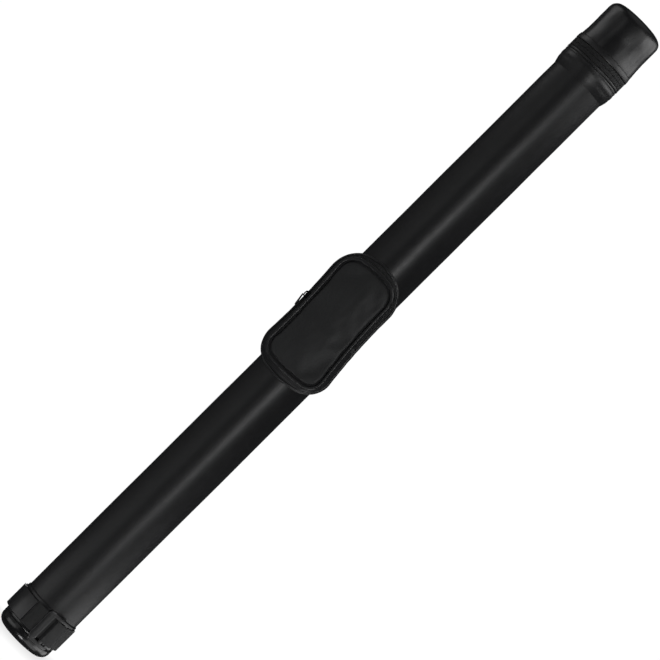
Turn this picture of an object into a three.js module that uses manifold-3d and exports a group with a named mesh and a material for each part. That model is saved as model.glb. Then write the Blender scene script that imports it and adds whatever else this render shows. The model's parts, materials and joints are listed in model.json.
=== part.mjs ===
// A slim tube case: a stiff lined tube in a leatherette cover, with a zip cap, a zip pouch and a strap band.
// Millimetres. The origin is the middle of the base's flat face, +Z runs up the tube to the cap and the
// pouch faces -Y.
import * as THREE from "three";
import { mergeVertices } from "three/addons/utils/BufferGeometryUtils.js";
import Module from "manifold-3d";

const wasm = await Module();
wasm.setup();

// Driving dimensions.
const totalHeight = 826;
const tubeRadius = 29.8; // over the cover
const zipLine = 768.2; // height at which the cap's zip parts
const capRadius = 30.6;
const gap = 0.3; // between pieces that touch

// The tube's layers.
const coverWall = 1.1;
const coreRadius = tubeRadius - coverWall - gap;
const coreWall = 1.8;
const coreBore = coreRadius - coreWall;
const liningRadius = coreBore - gap;
const liningWall = 0.8;
const coreTop = 766;
const seamHalfAngle = 8;
const seamThickness = 0.8;
const seamEnd = 4; // the seam strip stops this far from the band and the collar

// The base.
const baseHeight = 16;
const baseCorner = 9;
const plugTop = 18.6; // a step on the base that fits inside the core
const padTop = 21.3;

// The strap band round the base and its slide buckle.
const bandBottom = baseHeight + gap;
const bandTop = 41.5;
const bandBacking = 45;
const backingRadius = 30.8;
const webbing = 1.1;
const bandRadius = backingRadius + gap + webbing;
const buckleInner = bandRadius + gap;
const buckleThickness = 2.4;
const buckleFrom = 10.5; // degrees from the front, towards +X
const buckleTo = 51.5;
const buckleHeight = 35.4;
const buckleDrop = 0.6; // below the band's middle
const buckleSlot = 27;
const buckleSlots = [
  [23.5, 30.5],
  [38, 44],
]; // bearings of the two slots' sides
const patchFrom = -128;
const patchTo = -15;
const patchMargin = 0.3; // the patch stops this far inside the band's edges

// The mouth, the cap's zip and the hinge behind them.
const collarBottom = 744;
const collarTop = 760.6;
const collarLip = 30.9; // radius at the collar's lower edge
const collarRadius = 31.8;
const collarSlope = 2.5; // height over which it swells to that radius
const coverTop = 763.2;
const mouthBindingTop = 763.7;
const bindingRadius = 32.4;
const tapeInner = 30.4;
const tapeOuter = 31.6;
const tapeNear = 1.3; // from the zip line to the near edge of either tape
const mouthTapeFar = 4.2;
const capTapeFar = 4.4;
const coilInner = 30.6;
const coilOuter = 32;
const coilNear = 0.15; // from the zip line to the near side of either coil
const coilFar = 1;
const zipEnd = 150; // degrees from the front to each end of the cap's zip
const stopWidth = 2.2; // degrees
const stopGap = 0.8; // degrees between a stop and the zip's end
const stopHeight = 3.4;
const hingeHalfAngle = 22;
const hingeInner = 32.8;
const hingeOuter = 33.7;
const hingeBottom = 747;
const hingeTop = 786;

// The cap.
const capWall = 1.2;
const capCorner = 4;
const capShellRadius = capRadius - capWall - gap;
const capShellWall = 2;
const capShellBottom = zipLine + 2.4;
const capBindingBottom = 773;
const capBindingTop = 778.8;
const capBindingTaper = 0.7;
const capPadThickness = 6;
const capPadRoom = 0.8; // round the pad's edge

// The sliders and pulls.
const capSliderBearing = -135;
const capSlider = { length: 10, width: 8.4, thickness: 2.6, inner: 33 };
const capPull = { length: 22, width: 7, thickness: 1.2 };
const pullLift = 1.5; // the cap's pull hangs from this far above the zip line
const pouchSlider = { length: 9, width: 7.6, thickness: 3.4, height: 6, lift: 1.9 };
const pouchPull = { length: 13, width: 5.6, thickness: 1.1 };

// The pouch, in its own frame: x across, z up the tube, y forward with a minus sign.
const pouchCentre = 420;
const pouchTilt = THREE.MathUtils.degToRad(3.2); // its top leans to -X
const pouchHalfWidth = 37.6;
const pouchHalfHeight = 70;
const pouchCorner = 25;
const pouchWaist = 1.5;
const pouchBulge = 1.2;
const pouchFront = 46; // from the tube's axis to the rim of the front panel
const ringFront = 32; // from the tube's axis to the outer piping, where it crosses the tube
const ringSideDrop = 10; // how far the outer piping lies back at its sides
const narrowing = 0.13; // the front rim is this much smaller than the outer ring
const wallInset = 0.4;
const wallThickness = 1.4;
const pouchPipe = 1.7;
const rimPipe = 1.4;
const wingBack = 18.5; // the back panel's wings reach back to this distance in front of the axis
const flapLeft = -32; // height of the zip's two ends, from the pouch's centre
const flapRight = -5;
// The wall's bands, as shares of the way from the outer ring to the front rim.
const wallBands = {
  gusset: [0.11, 0.9],
  outerTape: [0.11, 0.415],
  outerCoil: [0.45, 0.485],
  innerCoil: [0.525, 0.56],
  innerTape: [0.595, 0.9],
};
const panelInset = 0.5; // between the rim piping and the front panel
const panelDepth = 2.2;
const panelCrown = 1.8; // thickness of its rounded front
const panelRound = 5; // width of that rounding
const panelRise = 1.2; // its back lies this far behind the rim
const endTabSize = [1, 5, 0.7]; // out from the wall, up the tube, and as a share of the depth
const endTabOut = 0.9;
const endTabDrop = 3; // below the zip's lower end
const outlineSegments = 4;
const pipingSteps = 52;

const roundSegments = 40;
const leather = { color: 0x151517, roughness: 0.42, metalness: 0 };
const gloss = { color: 0x0d0d0f, roughness: 0.15, metalness: 0 };
const fabric = { color: 0x1b1b1d, roughness: 0.9, metalness: 0 };
const board = { color: 0x6b6459, roughness: 0.8, metalness: 0 };
const foam = { color: 0x2a2a2c, roughness: 0.95, metalness: 0 };
const nylon = { color: 0x121214, roughness: 0.35, metalness: 0 };
const metal = { color: 0x1c1c1e, roughness: 0.3, metalness: 0.9 };

const tubeCase = new THREE.Group();
const pouch = new THREE.Group();
pouch.position.z = pouchCentre;
pouch.rotation.y = -pouchTilt;
tubeCase.add(pouch);

function add(name, geometry, look, parent = tubeCase) {
  const mesh = new THREE.Mesh(geometry, new THREE.MeshStandardMaterial(look));
  mesh.name = name;
  parent.add(mesh);
  return mesh;
}

// Degrees from the front (-Y) towards +X, as an angle from +X.
function bearing(degrees) {
  return THREE.MathUtils.degToRad(degrees - 90);
}

// A turned solid from [radius, height] pairs, with the outside wall running up.
function turned(profile) {
  const points = profile.map(([r, z]) => new THREE.Vector2(r, z));
  return new THREE.LatheGeometry(points, roundSegments).rotateX(Math.PI / 2);
}

function ring(inner, outer, bottom, top) {
  return turned([
    [inner, bottom],
    [outer, bottom],
    [outer, top],
    [inner, top],
    [inner, bottom],
  ]);
}

// Points of a quarter round in a profile, about [r, z], from one angle to another.
function arcPoints(r, z, radius, from, to, steps = 4) {
  const points = [];
  for (let i = 0; i <= steps; i++) {
    const a = THREE.MathUtils.degToRad(from + ((to - from) * i) / steps);
    points.push([r + radius * Math.cos(a), z + radius * Math.sin(a)]);
  }
  return points;
}

// A piece of a ring between two bearings.
function sector(inner, outer, bottom, top, from, to) {
  const outline = new THREE.Shape();
  outline.absarc(0, 0, outer, bearing(from), bearing(to), false);
  outline.absarc(0, 0, inner, bearing(to), bearing(from), true);
  const curveSegments = Math.max(2, Math.ceil((roundSegments * (to - from)) / 720));
  const options = { depth: top - bottom, bevelEnabled: false, curveSegments };
  return new THREE.ExtrudeGeometry(outline, options).translate(0, 0, bottom);
}

function solidOf(geometry) {
  const bare = geometry.clone().deleteAttribute("normal").deleteAttribute("uv");
  const merged = mergeVertices(bare, 1e-3);
  const vertProperties = new Float32Array(merged.attributes.position.array);
  const triVerts = new Uint32Array(merged.index.array);
  return new wasm.Manifold(new wasm.Mesh({ numProp: 3, vertProperties, triVerts }));
}

function geometryOf(solid) {
  const mesh = solid.getMesh();
  const geometry = new THREE.BufferGeometry();
  const position = new Float32Array(mesh.vertProperties);
  geometry.setAttribute("position", new THREE.BufferAttribute(position, 3));
  geometry.setIndex(new THREE.BufferAttribute(new Uint32Array(mesh.triVerts), 1));
  geometry.computeVertexNormals();
  return geometry;
}

// ---- Tube -------------------------------------------------------------------------------------
function addTube() {
  add("core_tube", ring(coreBore, coreRadius, baseHeight + gap, coreTop), board);
  const liningBottom = padTop + gap;
  const liningInner = liningRadius - liningWall;
  add("tube_lining", ring(liningInner, liningRadius, liningBottom, coreTop), fabric);
  add("tube_cover", ring(tubeRadius - coverWall, tubeRadius, bandBottom, coverTop), leather);
  const inner = tubeRadius + gap;
  const bottom = bandBacking + seamEnd;
  const top = collarBottom - seamEnd;
  const outer = inner + seamThickness;
  const seam = sector(inner, outer, bottom, top, 180 - seamHalfAngle, 180 + seamHalfAngle);
  add("back_seam_strip", seam, leather);
}

// ---- Base -------------------------------------------------------------------------------------
function addBase() {
  const outside = [
    [0, 0],
    ...arcPoints(tubeRadius - baseCorner, baseCorner, baseCorner, -90, 0),
    [tubeRadius, baseHeight],
    [0, baseHeight],
  ];
  add("base_cap", turned(outside), gloss);
  const plug = [
    [0, baseHeight + gap],
    [liningRadius, baseHeight + gap],
    [liningRadius, plugTop],
    [0, plugTop],
  ];
  add("base_plug", turned(plug), gloss);
  const pad = [
    [0, plugTop + gap],
    [liningRadius, plugTop + gap],
    [liningRadius, padTop],
    [0, padTop],
  ];
  add("base_pad", turned(pad), foam);
}

// ---- Strap band ---------------------------------------------------------------------------------
function addBand() {
  add("band_backing", ring(tubeRadius + gap, backingRadius, bandBottom, bandBacking), leather);
  add("strap_band", ring(bandRadius - webbing, bandRadius, bandBottom, bandTop), fabric);
  const patchInner = bandRadius + gap;
  const patchBottom = bandBottom + patchMargin;
  const patchOuter = patchInner + webbing;
  const patchTop = bandTop - patchMargin;
  const patch = sector(patchInner, patchOuter, patchBottom, patchTop, patchFrom, patchTo);
  add("band_patch", patch, leather);

  const middle = (bandBottom + bandTop) / 2 - buckleDrop;
  const outer = buckleInner + buckleThickness;
  const bottom = middle - buckleHeight / 2;
  const top = middle + buckleHeight / 2;
  let buckle = solidOf(sector(buckleInner, outer, bottom, top, buckleFrom, buckleTo));
  const slotBottom = middle - buckleSlot / 2;
  const slotTop = middle + buckleSlot / 2;
  for (const [from, to] of buckleSlots) {
    const cut = sector(buckleInner - 3, outer + 3, slotBottom, slotTop, from, to);
    buckle = buckle.subtract(solidOf(cut));
  }
  add("slide_buckle", geometryOf(buckle), gloss);
}

// ---- Mouth, zip and hinge -----------------------------------------------------------------------
function addMouth() {
  const inner = tubeRadius + gap;
  const collar = [
    [inner, collarBottom],
    [collarLip, collarBottom],
    [collarRadius, collarBottom + collarSlope],
    [collarRadius, collarTop],
    [inner, collarTop],
    [inner, collarBottom],
  ];
  add("mouth_collar", turned(collar), leather);
  const binding = ring(inner, bindingRadius, collarTop + gap, mouthBindingTop);
  add("mouth_binding", binding, leather);
  const tapeBottom = zipLine - mouthTapeFar;
  const tapeTop = zipLine - tapeNear;
  const tape = sector(tapeInner, tapeOuter, tapeBottom, tapeTop, -zipEnd, zipEnd);
  add("mouth_zip_tape", tape, fabric);
  const coilTop = zipLine - coilNear;
  const coil = sector(coilInner, coilOuter, zipLine - coilFar, coilTop, -zipEnd, zipEnd);
  add("mouth_zip_coil", coil, nylon);
  const stopTop = zipLine - gap;
  for (const [name, from] of [
    ["zip_stop_left", -zipEnd - stopGap - stopWidth],
    ["zip_stop_right", zipEnd + stopGap],
  ]) {
    const to = from + stopWidth;
    add(name, sector(coilInner, coilOuter, stopTop - stopHeight, stopTop, from, to), metal);
  }
  add("cap_hinge_lower", hingeStrip(hingeBottom, zipLine - gap), leather);
}

// A part of the leather strip that carries the cap at the back.
function hingeStrip(bottom, top) {
  const from = 180 - hingeHalfAngle;
  const to = 180 + hingeHalfAngle;
  return sector(hingeInner, hingeOuter, bottom, top, from, to);
}

// ---- Cap ----------------------------------------------------------------------------------------
function cup(radius, wall, bottom, top, corner) {
  return turned([
    [radius - wall, bottom],
    [radius, bottom],
    ...arcPoints(radius - corner, top - corner, corner, 0, 90, 3),
    [0, top],
    [0, top - wall],
    ...arcPoints(radius - corner, top - corner, corner - wall, 90, 0, 2),
    [radius - wall, bottom],
  ]);
}

function addCap() {
  add("cap_cover", cup(capRadius, capWall, capBindingBottom, totalHeight, capCorner), leather);
  const shellTop = totalHeight - capWall - gap;
  const shell = cup(capShellRadius, capShellWall, capShellBottom, shellTop, capCorner - capWall);
  add("cap_shell", shell, board);
  const boreRadius = capShellRadius - capShellWall - gap;
  const padRadius = boreRadius - capPadRoom;
  const padUnder = shellTop - capShellWall - capPadThickness;
  const padOver = shellTop - capShellWall - gap;
  const pad = [
    [0, padUnder],
    [padRadius, padUnder],
    [padRadius, padOver],
    [0, padOver],
  ];
  add("cap_pad", turned(pad), foam);
  const lining = ring(boreRadius - liningWall, boreRadius, capShellBottom, padUnder - gap);
  add("cap_lining", lining, fabric);
  const binding = [
    [capRadius + gap, capBindingBottom],
    [bindingRadius, capBindingBottom],
    [bindingRadius - capBindingTaper, capBindingTop],
    [capRadius + gap, capBindingTop],
    [capRadius + gap, capBindingBottom],
  ];
  add("cap_binding", turned(binding), leather);
  const tapeTop = zipLine + capTapeFar;
  const tape = sector(tapeInner, tapeOuter, zipLine + tapeNear, tapeTop, -zipEnd, zipEnd);
  add("cap_zip_tape", tape, fabric);
  const coilBottom = zipLine + coilNear;
  const coil = sector(coilInner, coilOuter, coilBottom, zipLine + coilFar, -zipEnd, zipEnd);
  add("cap_zip_coil", coil, nylon);
  add("cap_hinge_upper", hingeStrip(zipLine + gap, hingeTop), leather);
}

// A zip's slider seen from outside: a shield, wide at its mouth and narrow at its tail.
function sliderOutline({ length, width }) {
  const outline = new THREE.Shape();
  const w = width / 2;
  const l = length / 2;
  outline.moveTo(-w, l * 0.5);
  outline.quadraticCurveTo(-w, l, -w * 0.4, l);
  outline.lineTo(w * 0.4, l);
  outline.quadraticCurveTo(w, l, w, l * 0.5);
  outline.lineTo(w * 0.6, -l * 0.8);
  outline.quadraticCurveTo(w * 0.55, -l, w * 0.3, -l);
  outline.lineTo(-w * 0.3, -l);
  outline.quadraticCurveTo(-w * 0.55, -l, -w * 0.6, -l * 0.8);
  outline.closePath();
  return outline;
}

// A zip's pull: a flat tab that hangs from the origin, with a hole near its end.
function pullOutline({ length, width }) {
  const outline = new THREE.Shape();
  const w = width / 2;
  outline.moveTo(-w * 0.55, 0);
  outline.lineTo(-w, -length + w);
  outline.absarc(0, -length + w, w, Math.PI, 2 * Math.PI, false);
  outline.lineTo(w * 0.55, 0);
  outline.closePath();
  const hole = new THREE.Path();
  hole.absarc(0, -length + w, w * 0.45, 0, 2 * Math.PI, true);
  outline.holes.push(hole);
  return outline;
}

function plate(outline, thickness) {
  const options = { depth: thickness, bevelEnabled: false, curveSegments: 4 };
  return new THREE.ExtrudeGeometry(outline, options).rotateX(Math.PI / 2);
}

function addCapSlider() {
  // The slider's own frame: x along the zip, z up, and its outer face towards -y.
  const holder = new THREE.Group();
  holder.rotation.z = THREE.MathUtils.degToRad(capSliderBearing);
  tubeCase.add(holder);
  const { inner, thickness } = capSlider;
  const body = plate(sliderOutline(capSlider), thickness);
  // The zip runs round the tube, so the slider's long way lies level.
  body.rotateY(Math.PI / 2).translate(0, -inner, zipLine);
  add("cap_zip_slider", body, metal, holder);
  const pull = plate(pullOutline(capPull), capPull.thickness);
  pull.translate(0, -inner - thickness - gap, zipLine + pullLift);
  add("cap_zip_pull", pull, metal, holder);
}

// ---- Pouch --------------------------------------------------------------------------------------
// The outer outline of the pouch, drawn in by inset: a rounded oblong with a slight waist.
function pouchOutline(inset, Kind = THREE.Shape) {
  const w = pouchHalfWidth - inset;
  const h = pouchHalfHeight - inset;
  const r = pouchCorner - inset;
  const outline = new Kind();
  outline.moveTo(w, -(h - r));
  outline.quadraticCurveTo(w - 2 * pouchWaist, 0, w, h - r);
  outline.absarc(w - r, h - r, r, 0, Math.PI / 2, false);
  outline.quadraticCurveTo(0, h + 2 * pouchBulge, -(w - r), h);
  outline.absarc(-(w - r), h - r, r, Math.PI / 2, Math.PI, false);
  outline.quadraticCurveTo(-w + 2 * pouchWaist, 0, -w, -(h - r));
  outline.absarc(-(w - r), -(h - r), r, Math.PI, 1.5 * Math.PI, false);
  outline.quadraticCurveTo(0, -h - 2 * pouchBulge, w - r, -h);
  outline.absarc(w - r, -(h - r), r, 1.5 * Math.PI, 2 * Math.PI, false);
  return outline;
}

// Where a point of the outline lies at a share of the way from the outer ring (0) to the front rim (1).
function pouchPoint(x, z, share) {
  const size = 1 - narrowing * share;
  const back = ringFront - ringSideDrop * (x / pouchHalfWidth) ** 2;
  return new THREE.Vector3(x * size, -(back + (pouchFront - back) * share), z * size);
}

function warp(geometry) {
  const position = geometry.attributes.position;
  for (let i = 0; i < position.count; i++) {
    const p = pouchPoint(position.getX(i), position.getY(i), position.getZ(i));
    position.setXYZ(i, p.x, p.y, p.z);
  }
  return geometry;
}

// A wall that follows the outline, from one share of the depth to another.
function pouchWall([from, to]) {
  const outline = pouchOutline(wallInset);
  outline.holes.push(pouchOutline(wallInset + wallThickness, THREE.Path));
  const options = { depth: to - from, bevelEnabled: false, curveSegments: outlineSegments };
  return warp(new THREE.ExtrudeGeometry(outline, options).translate(0, 0, from));
}

// A cord of piping round the outline at a share of the depth.
function pouchPiping(share, radius) {
  const flat = pouchOutline(0).getSpacedPoints(pipingSteps).slice(0, -1);
  const path = new THREE.CatmullRomCurve3(
    flat.map((p) => pouchPoint(p.x, p.y, share)),
    true,
  );
  return new THREE.TubeGeometry(path, pipingSteps, radius, 6, true);
}

const flapSlope = Math.atan2(flapRight - flapLeft, 2 * pouchHalfWidth);

// A big block above (side 1) or below (side -1) the line on which the pouch's flap bends.
function flapSide(side) {
  const size = 240;
  const block = new THREE.BoxGeometry(size, size, size);
  block.translate(0, 0, side * (size / 2 + gap / 2));
  block.rotateY(-flapSlope);
  return solidOf(block.translate(0, 0, (flapLeft + flapRight) / 2));
}

const above = flapSide(1);
const below = flapSide(-1);

function part(geometry, side) {
  return geometryOf(solidOf(geometry).intersect(side));
}

function addPouchBack() {
  const outline = pouchOutline(pouchPipe + 0.4);
  const panel = new THREE.ExtrudeGeometry(outline, {
    depth: 1,
    steps: 1,
    bevelEnabled: false,
    curveSegments: outlineSegments,
  });
  const position = panel.attributes.position;
  for (let i = 0; i < position.count; i++) {
    const front = pouchPoint(position.getX(i), position.getY(i), 0);
    const y = position.getZ(i) > 0.5 ? front.y : -wingBack;
    position.setXYZ(i, front.x, y, front.z);
  }
  const room = new THREE.CylinderGeometry(tubeRadius + gap, tubeRadius + gap, 300, 60);
  room.rotateX(Math.PI / 2).rotateY(pouchTilt);
  const back = solidOf(panel).subtract(solidOf(room));
  add("pouch_back_panel", geometryOf(back), leather, pouch);
}

function addPouch() {
  addPouchBack();
  add("pouch_outer_piping", pouchPiping(0, pouchPipe), leather, pouch);
  add("pouch_gusset", part(pouchWall(wallBands.gusset), below), leather, pouch);
  add("pouch_zip_outer_tape", part(pouchWall(wallBands.outerTape), above), fabric, pouch);
  add("pouch_zip_outer_coil", part(pouchWall(wallBands.outerCoil), above), nylon, pouch);
  add("pouch_zip_inner_coil", part(pouchWall(wallBands.innerCoil), above), nylon, pouch);
  add("pouch_zip_inner_tape", part(pouchWall(wallBands.innerTape), above), fabric, pouch);

  const rim = pouchPiping(1, rimPipe);
  add("pouch_rim_piping_flap", part(rim, above), leather, pouch);
  add("pouch_rim_piping_lower", part(rim, below), leather, pouch);

  const size = 1 - narrowing;
  const options = {
    depth: panelDepth,
    bevelThickness: panelCrown,
    bevelSize: panelRound,
    bevelOffset: -panelRound,
    bevelSegments: 2,
    curveSegments: outlineSegments,
  };
  const panel = new THREE.ExtrudeGeometry(pouchOutline(rimPipe / size + panelInset), options);
  panel.rotateX(Math.PI / 2).scale(size, 1, size).translate(0, panelRise - pouchFront, 0);
  add("pouch_front_flap", part(panel, above), leather, pouch);
  add("pouch_front_lower", part(panel, below), leather, pouch);

  addPouchTrim();
}

function addPouchTrim() {
  const wall = pouchHalfWidth - wallInset - pouchWaist;
  const middle = pouchPoint(wall, 0, 0.5);
  const endTab = new THREE.BoxGeometry(...endTabSize);
  endTab.translate(wall + endTabOut, flapRight - endTabDrop, 0.5);
  add("pouch_zip_end_tab", warp(endTab), leather, pouch);

  const { length, thickness, height, lift } = pouchSlider;
  const inner = -middle.x - lift;
  const body = plate(sliderOutline(pouchSlider), thickness);
  body.rotateZ(-Math.PI / 2).translate(inner, middle.y, height);
  add("pouch_zip_slider", body, metal, pouch);
  const pull = plate(pullOutline(pouchPull), pouchPull.thickness);
  const pullOut = inner - thickness + pouchPull.thickness;
  pull.rotateZ(-Math.PI / 2).translate(pullOut, middle.y, height - length / 2 - gap);
  add("pouch_zip_pull", pull, metal, pouch);
}

addTube();
addBase();
addBand();
addMouth();
addCap();
addCapSlider();
addPouch();

export default tubeCase;
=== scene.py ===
import json
import math

import bmesh
import bpy
import numpy as np
from mathutils import Matrix, Vector, noise


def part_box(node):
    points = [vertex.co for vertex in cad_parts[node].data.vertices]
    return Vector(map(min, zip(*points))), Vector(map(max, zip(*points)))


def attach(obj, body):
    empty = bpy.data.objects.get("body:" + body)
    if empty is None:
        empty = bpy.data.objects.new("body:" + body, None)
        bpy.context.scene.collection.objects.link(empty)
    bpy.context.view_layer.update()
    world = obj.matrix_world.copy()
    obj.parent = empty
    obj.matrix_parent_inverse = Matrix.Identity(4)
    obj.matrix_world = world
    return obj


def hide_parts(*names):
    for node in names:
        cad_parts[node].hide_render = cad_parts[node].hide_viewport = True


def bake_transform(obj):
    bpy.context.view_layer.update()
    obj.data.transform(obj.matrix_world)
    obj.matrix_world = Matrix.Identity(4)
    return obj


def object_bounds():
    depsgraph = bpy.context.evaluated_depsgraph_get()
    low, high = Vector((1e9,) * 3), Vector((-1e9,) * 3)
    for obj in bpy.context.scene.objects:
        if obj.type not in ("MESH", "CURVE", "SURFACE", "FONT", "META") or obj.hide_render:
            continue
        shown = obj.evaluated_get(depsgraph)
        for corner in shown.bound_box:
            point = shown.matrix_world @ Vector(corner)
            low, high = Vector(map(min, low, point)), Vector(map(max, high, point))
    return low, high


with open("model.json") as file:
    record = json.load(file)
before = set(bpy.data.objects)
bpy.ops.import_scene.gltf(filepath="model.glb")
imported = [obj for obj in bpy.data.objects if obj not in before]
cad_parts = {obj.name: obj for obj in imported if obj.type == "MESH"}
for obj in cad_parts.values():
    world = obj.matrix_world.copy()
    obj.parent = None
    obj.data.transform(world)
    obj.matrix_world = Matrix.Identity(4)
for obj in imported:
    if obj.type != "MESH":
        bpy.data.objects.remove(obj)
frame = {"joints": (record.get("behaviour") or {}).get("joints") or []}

cad_box = [list(corner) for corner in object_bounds()]

# A black leatherette tube case, upright on its base. Lengths are millimetres until piece() writes a
# mesh in metres. A bearing is degrees from the front (-Y) towards +X.
MM = 0.001
ROUND_STEPS = 128
ARC_STEPS = 24

# The camera stands level with the case's middle, a little to its right, and is rolled.
CAMERA_BEARING = 7.0
CAMERA_DISTANCE = 3003.0
CAMERA_ROLL = 45.15
CAMERA_ANGLE = 11.84

# Walls and roundings that the CAD boxes don't give.
COVER_WALL = 1.1
CORE_WALL = 1.8
LINING_WALL = 0.8
BACKING_WALL = 0.7
WEBBING = 1.1
CAP_WALL = 1.2
CAP_SHELL_WALL = 2.0
BASE_CORNER = 9.0
CAP_CORNER = 8.5
CAP_DOME = 1.5
WELT_BULGE = 2.6

# The zip round the mouth, and the hinge behind it.
JOINTS = {joint["name"]: joint for joint in frame["joints"]}
ZIP_LINE = JOINTS["cap_hinge"]["pos_m"][2] / MM
TAPE_INSIDE = 30.4
TAPE_RADIUS = 32.2
TAPE_END = 161.0
TAPE_GAP = 0.15
COIL_RADIUS = 31.15
ZIP_END = 150.0
STOP_ANGLE = 2.2
HINGE_INSIDE = 32.8
HINGE_OUTSIDE = 33.7
HINGE_FOLD = 34.0
HINGE_REACH = 4.0
HINGE_HALF_ANGLE = 22.0
CAP_SLIDER_BEARING = -135.0
CAP_SLIDER_RADIUS = 32.4
CAP_PULL_RADIUS = 35.9

# The length, width and thickness of each slider and pull.
CAP_SLIDER = (10.0, 8.4, 2.8)
CAP_PULL = (22.0, 7.0, 1.2)
POUCH_SLIDER = (8.0, 7.6, 4.2)
POUCH_PULL = (13.0, 5.6, 1.1)

# The slide buckle on the band, and the patch over the band's joint.
BUCKLE_FROM = 10.5
BUCKLE_TO = 51.5
BUCKLE_SLOTS = ((23.5, 30.5), (38.0, 44.0))
BUCKLE_THICKNESS = 2.4
BUCKLE_GAP = 0.3
SLOT_HEIGHT = 27.0
RAIL_ROUNDING = 3.2
PATCH_THICKNESS = 1.2
PATCH_FROM = -128.0
PATCH_TO = -15.0

# A stitch's length, width and height, and the pitch of a row.
STITCH = (2.3, 0.5, 0.4)
STITCH_PITCH = 3.2

# The pouch, in its own frame: x across, z up the tube, y forward with a minus sign.
POUCH_CENTRE = 419.0
POUCH_SHIFT = -1.2
POUCH_TILT = 2.1
POUCH_HALF_WIDTH = 36.3
POUCH_HALF_HEIGHT = 70.0
POUCH_TAPER = 0.04  # how much narrower it gets towards its top
POUCH_WAIST = 1.5
POUCH_BULGE = 1.2
POUCH_CORNER = 25.0
POUCH_TOP_CORNER = 29.0
# A place on its wall is a share, from the ring on the tube (0) to the front's rim (1).
RING_FRONT = 32.0
RING_SIDE_DROP = 10.0
POUCH_FRONT = 46.0
NARROWING = 0.125
SHORTENING = 0.11
FRONT_SHARPENING = 8.0
LEAN = 2.1  # how far right of the ring the rim stands, and how much less at the top
LEAN_TAPER = 0.85
WALL_INSET = 0.4
WALL_MIDDLE = POUCH_HALF_WIDTH - WALL_INSET - POUCH_WAIST  # half its width at mid height
FLAP_MARGIN = 0.15
# The line on which its front bends, at its left and right ends.
FLAP_LEFT = -31.0
FLAP_RIGHT = -4.0
# The front panel before it is filled, as cloth, and the lining behind it.
PANEL_INSET = 3.2
PANEL_BACK = 1.6
PANEL_RISE = 1.5
CLOTH_PRESSURE = 2.4
CLOTH_FRAMES = 18
CLOTH_REACH = 3.2
CLOTH_VOXEL = 1.8
LINING_NEAR = 1.8
LINING_FAR = 2.4
PULL_LEAN = 9.0


# ---- Mesh kit ----
def span(node):
    """A node's lowest and highest corners in millimetres."""
    low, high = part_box(node)
    return low / MM, high / MM


def rounded(points, radius, steps=3):
    """A closed outline with rounded corners; radius is one number, or one for each corner."""
    count = len(points)
    radii = radius if hasattr(radius, "__len__") else [radius] * count
    points = [np.array(p, float) for p in points]
    out = []
    for i, p in enumerate(points):
        before, after = points[i - 1] - p, points[(i + 1) % count] - p
        reach = [min(radii[i] / np.linalg.norm(v), 0.48) for v in (before, after)]
        start, end = p + before * reach[0], p + after * reach[1]
        if radii[i] <= 0:
            out.append(p)
            continue
        for t in np.linspace(0, 1, steps + 1):
            out.append((1 - t) ** 2 * start + 2 * t * (1 - t) * p + t * t * end)
    return out


def loft(rings, closed=False):
    """A skin through equal closed rings of points. Returns the points, the faces and, for each corner
    of each face, the lengths along and around in millimetres."""
    rings = np.array(rings, float)
    count, around_count = rings.shape[:2]
    loop = np.concatenate([rings, rings[:1]]) if closed else rings
    along = np.r_[0, np.cumsum(np.linalg.norm(np.diff(loop[:, 0], axis=0), axis=1))]
    first = np.concatenate([rings[0], rings[0][:1]])
    around = np.r_[0, np.cumsum(np.linalg.norm(np.diff(first, axis=0), axis=1))]
    faces, lengths = [], []
    for i in range(count if closed else count - 1):
        for j in range(around_count):
            i2, j2 = (i + 1) % count, (j + 1) % around_count
            corners = ((i, j), (i2, j), (i2, j2), (i, j2))
            faces.append([a * around_count + b for a, b in corners])
            ahead, beside = along[i + 1], around[j + 1]
            lengths += [(along[i], around[j]), (ahead, around[j]), (ahead, beside), (along[i], beside)]
    if not closed:
        for i in (0, count - 1):
            faces.append([i * around_count + j for j in range(around_count)])
            lengths += [(along[i], around[j]) for j in range(around_count)]
    return rings.reshape(-1, 3), faces, lengths


def turned(outline, start=-180.0, stop=180.0, steps=ROUND_STEPS, shape=None):
    """A closed outline of (radius, height) turned from one bearing to another. shape(bearing in
    radians, height, radius) gives the radius at a point."""
    full = stop - start >= 360
    count = steps if full else max(2, round(steps * (stop - start) / 360))
    rings = []
    for i in range(count if full else count + 1):
        b = math.radians(start + (stop - start) * i / count)
        reached = [(shape(b, z, r) if shape else r, z) for r, z in outline]
        rings.append([(r * math.sin(b), -r * math.cos(b), z) for r, z in reached])
    return loft(rings, closed=full)


def swept(path, radius, reference, sides=10, closed=False):
    """A cord of round section along a path; reference is a direction that the path never takes."""
    path = np.array(path, float)
    if closed:
        tangents = np.roll(path, -1, 0) - np.roll(path, 1, 0)
    else:
        tangents = np.gradient(path, axis=0)
    side = np.cross(tangents, reference)
    side /= np.linalg.norm(side, axis=1)[:, None]
    up = np.cross(side, tangents)
    up /= np.linalg.norm(up, axis=1)[:, None]
    angles = np.linspace(0, 2 * math.pi, sides, endpoint=False)
    radii = np.broadcast_to(radius, len(path))[:, None, None]
    circle = np.cos(angles)[:, None] * side[:, None] + np.sin(angles)[:, None] * up[:, None]
    return loft(path[:, None] + radii * circle, closed)


def bead_template():
    """A small capsule, 2 long along x and 2 across, as a loft."""
    sections = ((-1, 0.35), (-0.86, 0.8), (0, 1.0), (0.86, 0.8), (1, 0.35))
    angles = np.linspace(0, 2 * math.pi, 6, endpoint=False)
    rings = [[(x, r * math.cos(a), r * math.sin(a)) for a in angles] for x, r in sections]
    return loft(rings)


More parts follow.
